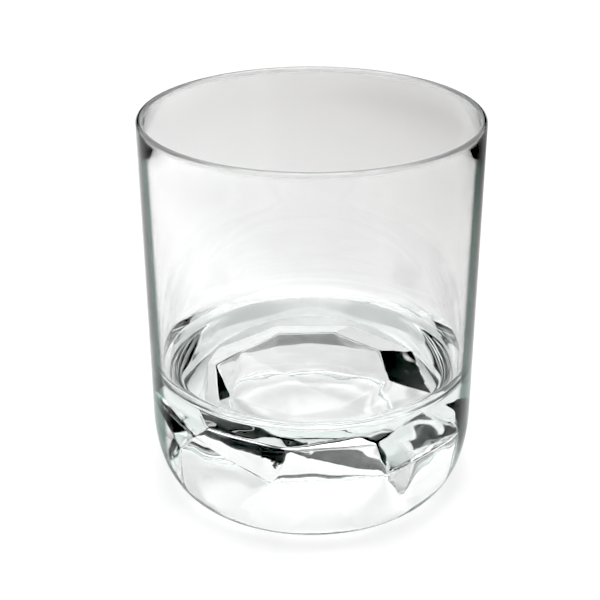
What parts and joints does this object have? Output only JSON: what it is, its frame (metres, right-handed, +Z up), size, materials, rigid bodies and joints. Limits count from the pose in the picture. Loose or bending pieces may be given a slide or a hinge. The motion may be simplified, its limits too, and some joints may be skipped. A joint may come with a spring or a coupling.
{
  "type": "whiskey tumbler",
  "caption": "Straight-sided whiskey tumbler of clear glass with a thin round lip, a thick base and a gem-cut hollow pressed into its underside.",
  "frame": {"origin": "centre of the foot, on the plane that the glass stands on", "axes": "+Z up along the axis of revolution, +X and +Y across the mouth; -Y faces the viewer"},
  "size_m": [0.084, 0.084, 0.0975],
  "materials": {
    "clear_glass": "fire-polished clear soda-lime glass"
  },
  "bodies": {
    "root": {"tumbler_body": "clear_glass"}
  },
  "joints": []
}
